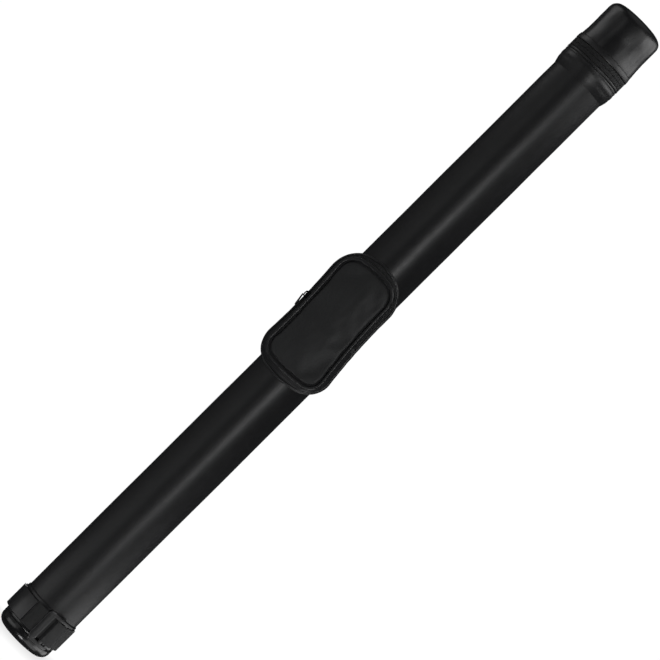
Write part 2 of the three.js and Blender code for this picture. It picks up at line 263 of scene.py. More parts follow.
def beads(path, outward, pitch, size, across=False, shift=0.0, phase=0.0):
    """Capsules along a path at a pitch, each of size (length, width, height), lying along the path or
    across it, and shifted sideways. outward gives the surface's normal at each point of the path."""
    path, outward = np.array(path, float), np.array(outward, float)
    gone = np.r_[0, np.cumsum(np.linalg.norm(np.diff(path, axis=0), axis=1))]
    places = np.arange(pitch * (0.5 + phase), gone[-1], pitch)
    tangents = np.gradient(path, axis=0)
    points, faces, lengths = bead_template()
    all_points, all_faces, all_lengths = [], [], []
    for k, place in enumerate(places):
        at, t, n = (
            np.array([np.interp(place, gone, line[:, c]) for c in range(3)])
            for line in (path, tangents, outward)
        )
        t /= np.linalg.norm(t)
        side = np.cross(n, t)
        side /= np.linalg.norm(side)
        n = np.cross(t, side)
        axes = (side, t, n) if across else (t, side, n)
        local = sum(points[:, [c]] * size[c] / 2 * axes[c] for c in range(3))
        all_points.append(local + at + side * shift)
        all_faces += [[v + k * len(points) for v in face] for face in faces]
        all_lengths += lengths
    return np.concatenate(all_points), all_faces, all_lengths


def merged(*parts):
    """Several skins as one."""
    points, faces, lengths = [], [], []
    for some, theirs, uv in parts:
        start = sum(len(p) for p in points)
        points.append(np.array(some, float))
        faces += [[v + start for v in face] for face in theirs]
        lengths += uv
    return np.concatenate(points), faces, lengths


def piece(name, skin, look, body=None, replaces=(), sharp=40):
    """Makes a piece from (points, faces, lengths)."""
    points, faces, lengths = skin
    mesh = bpy.data.meshes.new(name)
    mesh.from_pydata([Vector(p) * MM for p in points], [], faces)
    layer = mesh.uv_layers.new(name="lengths")
    layer.data.foreach_set("uv", np.array(lengths, np.float32).ravel())
    edit = bmesh.new()
    edit.from_mesh(mesh)
    bmesh.ops.remove_doubles(edit, verts=edit.verts, dist=2e-6)
    bmesh.ops.dissolve_degenerate(edit, edges=edit.edges, dist=1e-6)
    bmesh.ops.recalc_face_normals(edit, faces=edit.faces)
    edit.to_mesh(mesh)
    edit.free()
    mesh.shade_smooth()
    mesh.set_sharp_from_angle(angle=math.radians(sharp))
    mesh.materials.append(look)
    made = bpy.data.objects.new(name, mesh)
    bpy.context.scene.collection.objects.link(made)
    if body:
        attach(made, body)
    if replaces:
        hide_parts(*replaces)
    return made


def wander(x, y, z, size, amount, seed=0.0):
    """Smooth noise of a given size and height, in millimetres."""
    return amount * noise.noise(Vector((x / size + seed, y / size - seed, z / size + 2 * seed)))


def ring_outline(inner, outer, bottom, top, corner=0.3, steps=3):
    """A ring's section, or a disc's when inner is 0."""
    corners = [(inner, bottom), (outer, bottom), (outer, top), (inner, top)]
    return rounded(corners, corner, steps)


def add_round(node, look, body, wall=None, corner=0.25):
    """A node that is a plain ring with a wall, or a disc without one."""
    low, high = span(node)
    inner = high.x - wall if wall else 0
    outline = ring_outline(inner, high.x, low.z, high.z, corner)
    piece(node + "_skin", turned(outline), look, body, [node])


def circle_path(radius, z, start, stop, steps=ROUND_STEPS):
    """Points on a level circle from one bearing to another, and the outward directions there."""
    bearings = np.radians(np.linspace(start, stop, steps + 1))
    outward = np.stack([np.sin(bearings), -np.cos(bearings), 0 * bearings], axis=1)
    return outward * radius + np.array([0, 0, z]), outward


def stitch_ring(name, body, radius, z, start=-180.0, stop=180.0, steps=ROUND_STEPS):
    skin = beads(*circle_path(radius, z, start, stop, steps), STITCH_PITCH, STITCH)
    piece(name, skin, thread, body)


# ---- Materials ----
class Look:
    """A material and short ways to add its nodes."""

    def __init__(self, name, colour, roughness, **sockets):
        self.material = bpy.data.materials.new(name)
        self.material.use_nodes = True
        self.tree = self.material.node_tree
        self.shader = self.tree.nodes["Principled BSDF"]
        self.set("Base Color", (*colour, 1))
        self.set("Roughness", roughness)
        for key, value in sockets.items():
            self.set(key.replace("_", " "), value)
        self.colour = colour

    def set(self, socket, value):
        self.shader.inputs[socket].default_value = value

    def node(self, kind, links=(), **values):
        made = self.tree.nodes.new("ShaderNode" + kind)
        for key, value in values.items():
            if hasattr(made, key):
                setattr(made, key, value)
            else:
                made.inputs[key.replace("_", " ")].default_value = value
        for socket, source in dict(links).items():
            self.tree.links.new(source, made.inputs[socket])
        return made

    def place(self):
        return self.node("TexCoord").outputs["Object"]

    def noise(self, size, detail=3.0, rough=0.55, stretch=None):
        """Noise with features of a size in millimetres; stretch scales the space it is in."""
        place = self.place()
        if stretch:
            place = self.node("Mapping", {"Vector": place}, Scale=stretch).outputs[0]
        made = self.node("TexNoise", {"Vector": place}, Scale=1 / (size * MM), Detail=detail)
        made.inputs["Roughness"].default_value = rough
        return made.outputs["Fac"]

    def cells(self, size, feature="F1"):
        made = self.node("TexVoronoi", {"Vector": self.place()}, Scale=1 / (size * MM))
        made.feature = feature
        return made.outputs["Distance"]

    def maths(self, operation, a, b=None):
        made = self.node("Math", operation=operation)
        for socket, value in zip(made.inputs, (a, b)):
            if value is None:
                continue
            if isinstance(value, (int, float)):
                socket.default_value = value
            else:
                self.tree.links.new(value, socket)
        return made.outputs[0]

    def ranged(self, value, low, high, start=0.0, end=1.0):
        made = self.node("MapRange", {"Value": value})
        limits = {"From Min": start, "From Max": end, "To Min": low, "To Max": high}
        for socket, limit in limits.items():
            made.inputs[socket].default_value = limit
        return made.outputs[0]

    def tint(self, value, low, high):
        """Colours the surface between low and high shares of its colour."""
        mix = self.node("Mix", {"Factor": value}, data_type="RGBA")
        mix.inputs["A"].default_value = (*[c * low for c in self.colour], 1)
        mix.inputs["B"].default_value = (*[c * high for c in self.colour], 1)
        self.tree.links.new(mix.outputs["Result"], self.shader.inputs["Base Color"])

    def gloss(self, value, low, high):
        ranged = self.ranged(value, low, high)
        self.tree.links.new(ranged, self.shader.inputs["Roughness"])

    def bump(self, height, depth, strength=1.0, below=None):
        """Raises the surface by depth millimetres where height is 1."""
        made = self.node("Bump", {"Height": height}, Strength=strength, Distance=depth * MM)
        if below:
            self.tree.links.new(below, made.inputs["Normal"])
        self.tree.links.new(made.outputs[0], self.shader.inputs["Normal"])
        return made.outputs[0]

    def lengths(self):
        """The lengths along and around a piece, in millimetres."""
        uv = self.node("UVMap", uv_map="lengths").outputs[0]
        split = self.node("SeparateXYZ", {"Vector": uv})
        return split.outputs[0], split.outputs[1]

    def ripple(self, value, period, phase=0.0):
        """A wave from 0 to 1 along a length."""
        turn = self.maths("MULTIPLY", value, 2 * math.pi / period)
        wave = self.maths("SINE", self.maths("ADD", turn, phase))
        return self.ranged(wave, 0, 1, -1, 1)


def leather(name, colour, roughness, grain, depth):
    """Leatherette: pebbled, with soft unevenness and patches."""
    look = Look(name, colour, roughness)
    pebbles = look.cells(grain, "SMOOTH_F1")
    patches = look.noise(28, 4)
    fine = look.noise(0.5, 3)
    look.tint(patches, 0.7, 1.35)
    look.gloss(look.noise(9, 5, 0.6), roughness - 0.07, roughness + 0.09)
    soft = look.bump(look.noise(6, 3), 0.12, 0.5)
    grainy = look.bump(pebbles, depth, 0.6, soft)
    look.bump(fine, depth * 0.5, 0.35, grainy)
    return look.material


def woven(name, colour, roughness, rib, warp, depth=0.12, slant=0.0):
    """Webbing or tape: ribs along it at one pitch, crossed by yarns at another."""
    look = Look(name, colour, roughness)
    along, across = look.lengths()
    leaning = look.maths("ADD", along, look.maths("MULTIPLY", across, slant))
    ribs = look.ripple(across, rib)
    yarns = look.ripple(leaning, warp)
    other = look.ripple(leaning, warp, math.pi)
    weave = look.maths(
        "ADD",
        look.maths("MULTIPLY", ribs, yarns),
        look.maths("MULTIPLY", look.maths("SUBTRACT", 1, ribs), other),
    )
    fuzz = look.noise(0.35, 3, 0.7)
    height = look.maths("ADD", weave, look.maths("MULTIPLY", fuzz, 0.5))
    # The colour follows the weave's height: painted shade in the hollows between ribs and yarns, plus
    # random tone from the fuzz.
    look.tint(look.ranged(height, 0, 1, 0.2, 1.4), 0.45, 1.5)
    look.gloss(look.noise(3, 3), roughness - 0.05, roughness + 0.08)
    look.bump(height, depth, 0.8)
    return look.material


def moulded(name, colour, roughness):
    """Plastic with faint scratches."""
    look = Look(name, colour, roughness)
    scratches = look.noise(1.2, 6, 0.7, stretch=(1, 1, 0.08))
    look.tint(look.noise(14, 3), 0.8, 1.25)
    look.gloss(scratches, roughness * 0.7, roughness * 1.5)
    look.bump(look.noise(4, 4), 0.02, 0.4)
    return look.material


def fibrous(name, colour, roughness, size=0.6, depth=0.1):
    """Board, foam or felt: fibres or cells with no direction."""
    look = Look(name, colour, roughness)
    fibres = look.noise(size, 6, 0.75)
    look.tint(fibres, 0.5, 1.5)
    look.bump(look.maths("ADD", fibres, look.cells(size * 1.6)), depth, 0.7)
    return look.material


def metal(name, colour, roughness):
    """Blackened metal, a little worn."""
    look = Look(name, colour, roughness, Metallic=0.6)
    worn = look.noise(2.2, 5, 0.7)
    look.tint(worn, 0.7, 1.6)
    look.gloss(worn, roughness * 0.75, roughness * 1.35)
    look.bump(look.noise(0.8, 4), 0.015, 0.5)
    return look.material


tube_leather = leather("tube_leather", (0.0135, 0.0135, 0.0142), 0.40, 1.0, 0.035)
cap_leather = leather("cap_leather", (0.014, 0.014, 0.0147), 0.30, 1.2, 0.035)
trim_leather = leather("trim_leather", (0.014, 0.014, 0.0147), 0.33, 0.9, 0.03)
pouch_leather = leather("pouch_leather", (0.021, 0.0215, 0.022), 0.54, 1.4, 0.06)
tab_leather = leather("tab_leather", (0.06, 0.06, 0.061), 0.45, 0.9, 0.03)
piping_leather = leather("piping", (0.016, 0.016, 0.0168), 0.38, 0.8, 0.03)
base_gloss = moulded("base_gloss", (0.008, 0.008, 0.0085), 0.2)
buckle_plastic = moulded("buckle_plastic", (0.011, 0.011, 0.0115), 0.3)
plug_plastic = moulded("plug_plastic", (0.02, 0.02, 0.021), 0.4)
webbing = woven("webbing", (0.0095, 0.0096, 0.0098), 0.66, 1.05, 1.5)
zip_tape = woven("zip_tape", (0.015, 0.0152, 0.0155), 0.75, 0.55, 0.8, 0.06, 0.6)
zip_coil = moulded("zip_coil", (0.015, 0.015, 0.0155), 0.32)
zip_metal = metal("zip_metal", (0.014, 0.014, 0.0145), 0.5)
core_board = fibrous("core_board", (0.16, 0.13, 0.1), 0.85)
lining = woven("lining", (0.03, 0.03, 0.032), 0.85, 0.7, 0.7, 0.05)
foam = fibrous("foam", (0.022, 0.022, 0.024), 0.95, 0.9, 0.2)
thread = woven("thread", (0.022, 0.022, 0.023), 0.5, 0.3, 0.3, 0.03)


# ---- Camera, stage and lights ----
def add_camera():
    low, high = cad_box
    bearing, roll = math.radians(CAMERA_BEARING), math.radians(CAMERA_ROLL)
    out = Vector((math.sin(bearing), -math.cos(bearing), 0))
    level = Vector((math.cos(bearing), math.sin(bearing), 0))
    up = Vector((0, 0, 1))
    right = level * math.cos(roll) + up * math.sin(roll)
    above = up * math.cos(roll) - level * math.sin(roll)
    data = bpy.data.cameras.new("camera")
    data.angle = math.radians(CAMERA_ANGLE)
    data.clip_end = 50
    camera = bpy.data.objects.new("camera", data)
    camera.matrix_world = Matrix((right, above, out)).transposed().to_4x4()
    middle = Vector((0, 0, (low[2] + high[2]) / 2))
    camera.location = middle + out * CAMERA_DISTANCE * MM
    bpy.context.scene.collection.objects.link(camera)
    bpy.context.scene.camera = camera


def add_light(name, bearing, distance, height, width, tall, power, tilt=0.0):
    """A soft box that faces the case's axis; distances are metres here, and tilt raises its aim."""
    data = bpy.data.lights.new(name, "AREA")
    data.shape = "RECTANGLE"
    data.size, data.size_y = width, tall
    data.energy = power
    light = bpy.data.objects.new(name, data)
    b = math.radians(bearing)
    light.location = (distance * math.sin(b), -distance * math.cos(b), height)
    aim = Vector((0, 0, height + tilt)) - light.location
    light.rotation_euler = aim.to_track_quat("-Z", "Y").to_euler()
    light.visible_camera = False
    bpy.context.scene.collection.objects.link(light)


LIGHTS = (
    # name, bearing, distance, height, width, tall, power, tilt
    ("left_back", -100, 1.7, 0.42, 0.9, 1.8, 0.45, 0.0),
    ("left_side", -65, 1.7, 0.42, 0.9, 1.8, 1.1, 0.0),
    ("left_front", -35, 1.7, 0.42, 0.7, 1.8, 1.6, 0.0),
    ("front_strip", 27, 2.0, 0.42, 0.14, 0.6, 6.5, 0.0),
    ("front_wash", 29, 2.0, 0.42, 0.2, 1.8, 0.4, 0.0),
    ("low_front", 50, 0.45, -0.1, 0.3, 0.2, 0.13, 0.06),
    ("low_side", 85, 0.45, -0.1, 0.3, 0.2, 0.5, 0.06),
    ("low_back", 120, 0.45, -0.1, 0.3, 0.2, 0.35, 0.06),
    ("low_left", -60, 0.45, -0.1, 0.4, 0.2, 0.25, 0.08),
    ("floor_spot", 5, 0.3, -0.35, 0.12, 0.12, 0.5, 0.35),
    ("floor_glow", 62, 0.35, -0.3, 0.5, 0.3, 0.6, 0.3),
    ("high_front", 50, 0.42, 0.94, 0.3, 0.2, 0.22, -0.06),
    ("high_side", 85, 0.42, 0.94, 0.3, 0.2, 0.55, -0.06),
    ("high_back", 120, 0.42, 0.94, 0.3, 0.2, 0.3, -0.06),
    ("high_left", -92, 0.5, 0.96, 0.3, 0.3, 0.3, -0.08),
    ("back_wall", 187, 1.9, 0.45, 0.45, 1.8, 12.0, 0.0),
    ("overhead", 0, 0.4, 2.2, 1.6, 1.6, 2.0, -2.0),
)


def add_stage():
    """A white floor that curves up into a wall all round; its glow dims near the case's foot, a painted
    contact shadow.
    """
    look = Look("backdrop", (1, 1, 1), 1.0)
    place = look.node("SeparateXYZ", {"Vector": look.place()})
    x, y = place.outputs[0], place.outputs[1]
    squares = look.maths("ADD", look.maths("MULTIPLY", x, x), look.maths("MULTIPLY", y, y))
    away = look.maths("SQRT", squares)
    # Painted shadow: the floor's glow is dimmer within 85 mm of the axis, as if the case shaded it.
    painted_shadow = look.ranged(away, 0.8, 1.02, 0.028, 0.085)
    light = look.node("Emission", {"Strength": painted_shadow})
    out = look.tree.nodes["Material Output"]
    look.tree.links.new(light.outputs[0], out.inputs["Surface"])
    outline = [(0.0, 0.0), (60.0, 0.0), (5500.0, 0.0), (6500.0, 400.0), (6900.0, 1400.0)]
    outline += [(6900.0, 6500.0), (0.0, 9000.0), (0.0, 9001.0), (7000.0, 6501.0)]
    outline += [(7000.0, 1400.0), (6600.0, 300.0), (5500.0, -30.0), (0.0, -30.0)]
    backdrop = piece("backdrop", turned(outline, steps=64), look.material)
    backdrop.visible_diffuse = False
    backdrop.visible_glossy = False
    backdrop.visible_transmission = False
    backdrop.visible_shadow = False
    for settings in LIGHTS:
        add_light(*settings)
    world = bpy.data.worlds.new("studio")
    bpy.context.scene.world = world
    world.use_nodes = True
    background = world.node_tree.nodes["Background"]
    background.inputs["Color"].default_value = (0.9, 0.95, 1, 1)
    background.inputs["Strength"].default_value = 0.035
    bpy.context.scene.view_settings.view_transform = "Standard"


# ---- Tube ----
def soft_wall(low, high, amount, size=22.0, seed=3.0):
    """Slight dents in a covered wall, fading out at its ends."""

    def shape(b, z, r):
        fade = min(1.0, max(0.0, (z - low) / 12), max(0.0, (high - z) / 12))
        x, y = 30 * math.sin(b), -30 * math.cos(b)
        return r + fade * wander(x, y, z * 0.4, size, amount, seed)

    return shape


def wall_outline(inner, outer, bottom, top, step):
    """A thin tall ring whose outer side has points every step."""
    heights = np.linspace(bottom, top, max(2, round((top - bottom) / step)))
    outside = [(outer, z) for z in heights]
    return [(inner, bottom), *outside, (inner, top)]


def add_tube():
    add_round("core_tube", core_board, "case", CORE_WALL)
    add_round("tube_lining", lining, "case", LINING_WALL)
    low, high = span("tube_cover")
    outline = wall_outline(high.x - COVER_WALL, high.x, low.z, high.z, 6.0)
    shape = soft_wall(low.z, high.z - 25, 0.22)
    skin = turned(outline, shape=shape)
    piece("tube_cover_skin", skin, tube_leather, "case", ["tube_cover"])

    low, high = span("back_seam_strip")
    inner = span("tube_cover")[1].x + 0.05
    outline = ring_outline(inner, inner + 0.85, low.z, high.z, 0.35)
    strip = turned(outline, 172, 188, steps=360)
    piece("back_seam", strip, trim_leather, "case", ["back_seam_strip"])
    rows = []
    for bearing in (174.2, 185.8):
        b = math.radians(bearing)
        out = np.array([math.sin(b), -math.cos(b), 0])
        path = [out * (inner + 0.9) + np.array([0, 0, z]) for z in (low.z + 3, high.z - 3)]
        rows.append(beads(path, [out, out], 3.6, (2.6, 0.45, 0.35)))
    piece("back_seam_stitches", merged(*rows), thread, "case")


def add_base():
    low, high = span("base_cap")
    r = high.x
    outline = [(0, 0.7), (15, 0.7), (16, 0), (r - BASE_CORNER, 0)]
    for angle in np.linspace(-80, 0, 12):
        a = math.radians(angle)
        outline.append((r - BASE_CORNER + BASE_CORNER * math.cos(a), BASE_CORNER * (1 + math.sin(a))))
    outline += [(r, 12.6), (r - 0.25, 12.9), (r, 13.2), (r, high.z - 0.3)]
    outline += [(r - 0.3, high.z), (0, high.z)]
    piece("base_shell", turned(outline), base_gloss, "case", ["base_cap"])
    add_round("base_plug", plug_plastic, "case", corner=(0, 0.4, 0.6, 0))
    add_round("base_pad", foam, "case", corner=(0, 0.4, 0.6, 0))


# ---- Strap band ----
def add_band():
    low, high = span("band_backing")
    inner, r, top = high.x - BACKING_WALL, high.x, high.z
    hem = [(inner, low.z), (r, low.z), (r, top - 1), (r - 0.4, top), (inner, top)]
    outline = rounded(hem, 0.25)
    piece("band_hem", turned(outline), trim_leather, "case", ["band_backing"])

    low, high = span("strap_band")
    rest = high.x - WEBBING
    over = rest + WEBBING + BUCKLE_GAP + BUCKLE_THICKNESS + 0.15
    dive = math.radians(BUCKLE_SLOTS[0][1] - 2)
    dive_length = math.radians(3.5)
    lift_from, lift_to = math.radians(BUCKLE_TO + 1), math.radians(BUCKLE_TO + 9)

    def webbing_radius(b):
        """The strap lies on the band, and climbs over the buckle's middle and far bars."""
        if b < dive or b > lift_to:
            return rest
        if b > lift_from:
            t = (lift_to - b) / (lift_to - lift_from)
        else:
            t = min(1.0, (b - dive) / dive_length)
        return rest + (over - rest) * t * t * (3 - 2 * t)

    def shape(b, z, r):
        return webbing_radius(b) + (r - rest) + wander(40 * b, 0, z, 14, 0.12)

    heights = np.linspace(low.z, high.z, 12)
    outline = [(rest, low.z + 0.2), *[(rest + WEBBING, z) for z in heights], (rest, high.z - 0.2)]
    skin = turned(outline, steps=240, shape=shape)
    piece("strap_webbing", skin, webbing, "case", ["strap_band"])

    low, high = span("band_patch")
    inner = rest + WEBBING + 0.1
    outline = ring_outline(inner, inner + PATCH_THICKNESS, low.z, high.z, 0.5)
    skin = turned(outline, PATCH_FROM, PATCH_TO)
    piece("band_patch_skin", skin, trim_leather, "case", ["band_patch"])
    add_buckle()


def add_buckle():
    low, high = span("slide_buckle")
    inner = span("strap_band")[1].x + BUCKLE_GAP
    outer = inner + BUCKLE_THICKNESS
    middle = (low.z + high.z) / 2
    rail = (high.z - low.z - SLOT_HEIGHT) / 2
    reach = SLOT_HEIGHT / 2 + 1
    (first, second), (third, fourth) = BUCKLE_SLOTS
    parts = []
    for start, stop in ((BUCKLE_FROM, first), (second, third), (fourth, BUCKLE_TO)):
        parts.append(bar_skin(inner, outer, middle - reach, middle + reach, start, stop))
    for bottom, top in ((low.z, low.z + rail), (high.z - rail, high.z)):
        parts.append(rail_skin(inner, outer, bottom, top, bottom < middle))
    skin = merged(*parts)
    piece("buckle_frame", skin, buckle_plastic, "case", ["slide_buckle"])


def rail_skin(inner, outer, bottom, top, lower):
    """The lower or the upper rail of the buckle, whose outer corners are rounded."""
    outline = ring_outline(inner, outer, bottom, top, 1.1, 5)
    sweep = math.radians(BUCKLE_TO - BUCKLE_FROM)
    rings = []
    for t in np.linspace(0, 1, 25):
        b = math.radians(BUCKLE_FROM) + sweep * t
        end = min(min(t, 1 - t) * sweep * outer, RAIL_ROUNDING)
        inset = RAIL_ROUNDING - math.sqrt(RAIL_ROUNDING**2 - (RAIL_ROUNDING - end) ** 2)
        ring = []
        for r, z in outline:
            far = (z - bottom) / (top - bottom)
            z = z + inset * (1 - far) if lower else z - inset * far
            ring.append((r * math.sin(b), -r * math.cos(b), z))
        rings.append(ring)
    return loft(rings)


def bar_skin(inner, outer, bottom, top, start, stop):
    """One bar of the buckle, rounded across."""
    half = math.radians(stop - start) / 2
    mid = math.radians(start + stop) / 2
    ring_angles = np.linspace(0, 2 * math.pi, 20, endpoint=False)
    rings = []
    for z in (bottom, top):
        ring = []
        for a in ring_angles:
            c, s = math.cos(a), math.sin(a)
            across = half * math.copysign(abs(c) ** 0.6, c)
            r = (inner + outer) / 2 + (outer - inner) / 2 * math.copysign(abs(s) ** 0.6, s)
            ring.append((r * math.sin(mid + across), -r * math.cos(mid + across), z))
        rings.append(ring)
    return loft(rings)


# ---- Mouth, zip and hinge ----
def add_mouth():
    low, high = span("mouth_collar")
    inner, r = span("tube_cover")[1].x + 0.1, high.x
    steps = [(-0.8, 1.5), (-0.2, 4), (0, 6), (0, 8), (0.35, 9.2), (0.45, 11), (0.3, 12.8)]
    steps += [(0, 13.6), (0.25, 15)]
    collar = [(inner, low.z - 2), (inner + 0.1, low.z - 2)]
    collar += [(r + out, low.z + up) for out, up in steps]
    collar += [(r + 0.25, high.z - 0.6), (r, high.z), (inner, high.z)]
    shape = soft_wall(low.z - 12, high.z + 12, 0.25, 9.0, 5.0)
    skin = turned(collar, shape=shape)
    piece("mouth_collar_skin", skin, tube_leather, "case", ["mouth_collar"])
    stitch_ring("mouth_stitches", "case", r + 0.35, low.z + 15.1)

    low, high = span("mouth_binding")
    outline = ring_outline(inner, high.x, low.z, high.z, 0.9, 5)
    piece("mouth_welt", turned(outline), piping_leather, "case", ["mouth_binding"])


def add_cap_zip():
    for node, body, side in (("mouth_zip_tape", "case", -1), ("cap_zip_tape", "cap", 1)):
        low, high = span(node)
        near = ZIP_LINE + side * TAPE_GAP
        bottom, top = (low.z, near) if side < 0 else (near, high.z)
        outline = ring_outline(TAPE_INSIDE, TAPE_RADIUS, bottom, top, 0.2)
        skin = turned(outline, -TAPE_END, TAPE_END)
        piece(node + "_skin", skin, zip_tape, body, [node])
    for node, body, side in (("mouth_zip_coil", "case", -1), ("cap_zip_coil", "cap", 1)):
        path, outward = circle_path(COIL_RADIUS, ZIP_LINE, -ZIP_END, ZIP_END)
        skin = beads(path, outward, 1.3, (1.3, 0.62, 1.1), True, side * 0.5, 0.25 * side)
        piece(node + "_teeth", skin, zip_coil, body, [node])
    for node in ("zip_stop_left", "zip_stop_right"):
        low, high = span(node)
        start = ZIP_END + 0.8 if node.endswith("right") else -ZIP_END - 3
        outline = ring_outline(TAPE_RADIUS + 0.05, TAPE_RADIUS + 0.6, low.z, high.z, 0.25)
        skin = turned(outline, start, start + STOP_ANGLE, steps=720)
        piece(node + "_clip", skin, zip_metal, "case", [node])


def add_hinge():
    """One strip of leather from the mouth up to the cap, across the zip's line."""
    low = span("cap_hinge_lower")[0].z
    high = span("cap_hinge_upper")[1].z
    heights = np.linspace(low, high, 40)
    inner, outer = HINGE_INSIDE, HINGE_OUTSIDE
    outline = [(inner, low + 0.4), (inner + 0.45, low), *[(outer, z) for z in heights[1:-1]]]
    outline += [(inner + 0.45, high), (inner, high - 0.4)]
    outline += [(inner, z) for z in heights[::-1][1:-1]]
    start, stop = 180 - HINGE_HALF_ANGLE, 180 + HINGE_HALF_ANGLE
    skin = turned(outline, start, stop, steps=240)
    halves = ["cap_hinge_lower", "cap_hinge_upper"]
    strip = piece("cap_hinge", skin, trim_leather, None, halves)
    bottom, top = ((0, HINGE_FOLD * MM, (ZIP_LINE + d) * MM) for d in (-HINGE_REACH, HINGE_REACH))
    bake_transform(strip)
    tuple(bottom)
    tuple(top)
    for name, body, z in (("low", "case", low + 3), ("high", "cap", high - 3)):
        stitch_ring("hinge_stitches_" + name, body, outer + 0.05, z, start + 3, stop - 3, 24)


# ---- Cap ----
def cap_shape(b, z, r):
    """The cap's cover creases softly where it is pulled over its shell."""
    if r < 25:
        return r
    x, y = 30 * math.sin(b), -30 * math.cos(b)
    folds = wander(x, y, z * 0.8, 13, 0.55, 8.0) + wander(x, y, z * 1.2, 6, 0.2, 2.0)
    return r + folds


def add_cap_cover():
    low, high = span("cap_cover")
    r, top = high.x, high.z - CAP_DOME
    # How far the side stands out from the cap's radius, at heights above its lower edge.
    side = [(0.8, 0), (0.95, 6), (0.75, 10), (0.3, 15), (0, 21), (-0.05, 26), (0.1, 31), (0.15, 36)]
    side += [(0, 42)]
    outline = [(r - CAP_WALL, low.z)]
    outline += [(r + out, low.z + up) for out, up in side]
    middle = (r - 0.2 - CAP_CORNER, top - CAP_CORNER)
    for angle in np.radians(np.linspace(8, 90, 8)):
        across, up = CAP_CORNER * math.cos(angle), CAP_CORNER * math.sin(angle)
        outline.append((middle[0] + across, middle[1] + up))
    outline += [(20, top), (8, top - 0.15), (0, top - 0.2), (0, top - CAP_WALL)]
    outline += [(r - CAP_CORNER - 1, top - CAP_WALL), (r - CAP_WALL, top - CAP_CORNER - 1)]
    skin = turned(outline, shape=cap_shape)
    piece("cap_cover_skin", skin, cap_leather, "cap", ["cap_cover"])

    inner = r + 0.8
    low, high = span("cap_binding")
    welt = [(inner, low.z), (high.x, low.z), (high.x + 0.05, low.z + WELT_BULGE)]
    welt += [(high.x - 0.4, high.z), (inner, high.z)]
    outline = rounded(welt, (0.2, 0.9, 1.2, 0.6, 0.2), 4)
    piece("cap_welt", turned(outline), piping_leather, "cap", ["cap_binding"])
    stitch_ring("cap_stitches", "cap", high.x - 0.55, high.z + 0.25)


def add_cap_inside():
    low, high = span("cap_shell")
    r, top = high.x, high.z - CAP_DOME
    inner, under = r - CAP_SHELL_WALL, top - CAP_SHELL_WALL
    shell = [(inner, low.z), (r, low.z), (r, top), (0, top), (0, under), (inner, under)]
    outline = rounded(shell, (0.4, 0.4, CAP_CORNER, 0, 0, CAP_CORNER - CAP_SHELL_WALL))
    piece("cap_shell_skin", turned(outline), core_board, "cap", ["cap_shell"])
    add_round("cap_lining", lining, "cap", LINING_WALL)
    add_round("cap_pad", foam, "cap", corner=(0, 1.2, 0.6, 0))


# ---- Sliders and pulls ----
def slider_skin(length, width, thickness):
    """Two rounded plates with a slot between them and a bridge on top. z is along the zip, and
    outside is towards -y."""
    w, l = width / 2, length / 2
    corners = [(-w, l), (w, l), (w, l * 0.2), (w * 0.62, -l), (-w * 0.62, -l), (-w, l * 0.2)]
    outline = np.array(rounded(corners, (1.6, 1.6, 1.5, 1.4, 1.4, 1.5), 4))
    parts = []
    for back, front in ((0.0, thickness * 0.36), (thickness * 0.55, thickness * 0.86)):
        rings = []
        for share, size in ((0, 0.9), (0.25, 1), (0.7, 1), (1, 0.86)):
            y = -(back + (front - back) * share)
            rings.append([(x * size, y, z * size) for x, z in outline])
        parts.append(loft(rings))
    post = [[(x * 0.45, -y, z * 0.5) for x, z in outline] for y in (thickness * 0.3, thickness * 0.6)]
    parts.append(loft(post))
    bridge = [(0.8, 0.7), (1.12, 0.55), (1.22, 0), (1.12, -0.55), (0.8, -0.75)]
    path = [(0, -thickness * out, l * along) for out, along in bridge]
    parts.append(swept(path, 0.62, (1, 0, 0), 8))
    return merged(*parts)


def pull_skin(length, width, thickness):
    """A flat tab with a hole, hanging from the origin."""
    w = width / 2
    centre = -length + w
    corners = [(-w * 0.5, 0), (-w, centre), (-w, -length), (w, -length), (w, centre), (w * 0.5, 0)]
    bevel = 0.3
    rings = []
    for x, z in rounded(corners, (0.8, 3, w, w, 3, 0.8), 6):
        away = Vector((x, z - centre)).normalized()
        hole_x, hole_z = away.x * w * 0.42, centre + away.y * w * 0.42
        edge_x, edge_z = x - away.x * bevel, z - away.y * bevel
        ring = [(edge_x, -thickness, edge_z), (x, bevel - thickness, z), (x, -bevel, z)]
        ring += [(edge_x, 0, edge_z), (hole_x, 0, hole_z), (hole_x, -thickness, hole_z)]
        rings.append(ring)
    return loft(rings, closed=True)


def moved(skin, matrix):
    """A skin somewhere else."""
    points, faces, lengths = skin
    return [tuple(matrix @ Vector(p)) for p in points], faces, lengths


def add_cap_slider():
    holder = Matrix.Rotation(math.radians(CAP_SLIDER_BEARING), 4, "Z")
    level = Matrix.Rotation(math.pi / 2, 4, "Y")
    place = holder @ Matrix.Translation((0, -CAP_SLIDER_RADIUS, ZIP_LINE)) @ level
    skin = moved(slider_skin(*CAP_SLIDER), place)
    piece("cap_slider_body", skin, zip_metal, "cap_slider", ["cap_zip_slider"])
    place = holder @ Matrix.Translation((0, -CAP_PULL_RADIUS, ZIP_LINE + 1.5))
    skin = moved(pull_skin(*CAP_PULL), place)
    piece("cap_pull_tab", skin, zip_metal, "cap_pull", ["cap_zip_pull"])


# ---- Pouch ----
POUCH_FRAME = Matrix.Translation((POUCH_SHIFT, 0, POUCH_CENTRE)) @ Matrix.Rotation(
    math.radians(-POUCH_TILT), 4, "Y"
)


def quadratic(start, middle, end):
    t = np.linspace(0, 1, ARC_STEPS, endpoint=False)[:, None]
    a, b, c = (np.array(p, float) for p in (start, middle, end))
    return (1 - t) ** 2 * a + 2 * t * (1 - t) * b + t * t * c


def corner_arc(x, z, r, start):
    """A quarter circle from an angle in degrees."""
    a = np.radians(start + 90 * np.linspace(0, 1, ARC_STEPS, endpoint=False))
    return np.stack([x + r * np.cos(a), z + r * np.sin(a)], axis=1)


